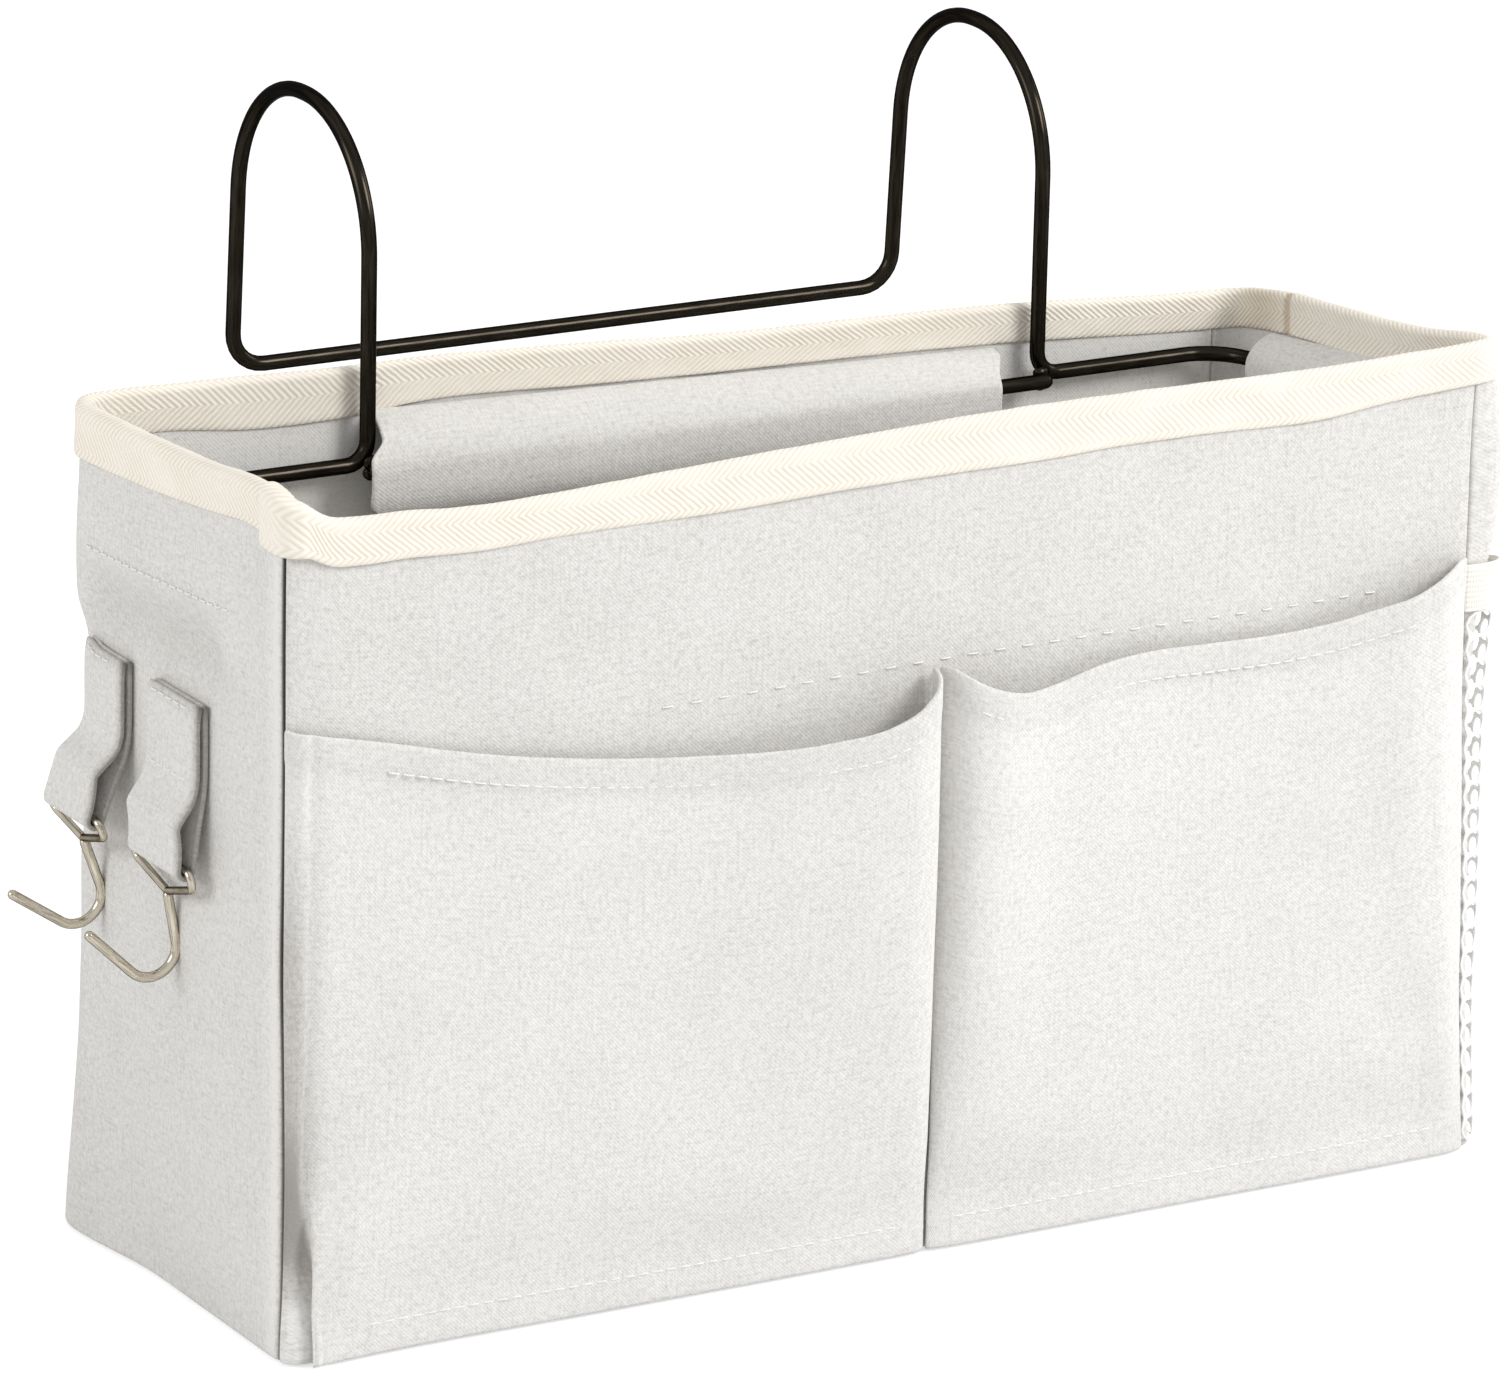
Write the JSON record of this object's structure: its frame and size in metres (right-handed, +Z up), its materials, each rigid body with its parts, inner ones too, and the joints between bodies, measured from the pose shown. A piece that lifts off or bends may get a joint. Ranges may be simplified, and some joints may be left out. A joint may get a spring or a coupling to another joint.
{
  "type": "bedside caddy",
  "caption": "Soft canvas box caddy that hangs over a bed rail on a bent wire frame, with front pockets, a net side pocket and wire hooks on strap loops.",
  "frame": {"origin": "middle of the underside of the base, where the caddy stands", "axes": "+X along the front towards the net pocket, +Y from the front pockets to the back, +Z up"},
  "size_m": [0.3797, 0.2003, 0.276],
  "materials": {
    "canvas": "light grey cotton and linen plain weave",
    "pocket_canvas": "pale grey cotton and linen plain weave, top stitched",
    "binding_tape": "cream herringbone cotton tape",
    "board": "matte grey stiffener",
    "net": "white hexagonal polyester net",
    "elastic": "cream woven elastic",
    "black_wire": "black coated steel wire, satin",
    "nickel_wire": "warm nickel plate"
  },
  "bodies": {
    "root": {"bottom_panel": "canvas", "base_board": "board", "front_panel": "canvas", "right_panel": "canvas", "back_panel": "canvas", "left_panel": "canvas", "rim_binding": "binding_tape", "front_pocket_left": "pocket_canvas", "front_pocket_right": "pocket_canvas", "mesh_pocket": "net", "mesh_pocket_elastic": "elastic", "left_sleeve": "canvas", "right_sleeve": "canvas", "front_sleeve": "canvas", "back_sleeve": "canvas", "hanger_frame": "black_wire", "cross_bar": "black_wire", "front_strap_tab": "canvas", "rear_strap_tab": "canvas"},
    "front_loop": {"front_strap_loop": "canvas"},
    "rear_loop": {"rear_strap_loop": "canvas"},
    "front_hook_body": {"front_hook": "nickel_wire"},
    "rear_hook_body": {"rear_hook": "nickel_wire"}
  },
  "joints": [
    {"name": "front_strap_swing", "type": "hinge", "parent": "root", "child": "front_loop", "pos_m": [-0.1716, -0.0051, 0.1334], "axis": [0, 1, 0], "range_deg": [0, 61]},
    {"name": "rear_strap_swing", "type": "hinge", "parent": "root", "child": "rear_loop", "pos_m": [-0.1716, 0.0355, 0.1334], "axis": [0, 1, 0], "range_deg": [0, 48]},
    {"name": "front_hook_swing", "type": "hinge", "parent": "front_loop", "child": "front_hook_body", "pos_m": [-0.17595, -0.0051, 0.11424], "axis": [0, 1, 0], "range_deg": [0, 95]},
    {"name": "rear_hook_swing", "type": "hinge", "parent": "rear_loop", "child": "rear_hook_body", "pos_m": [-0.18015, 0.0355, 0.11571], "axis": [0, 1, 0], "range_deg": [0, 115]}
  ]
}
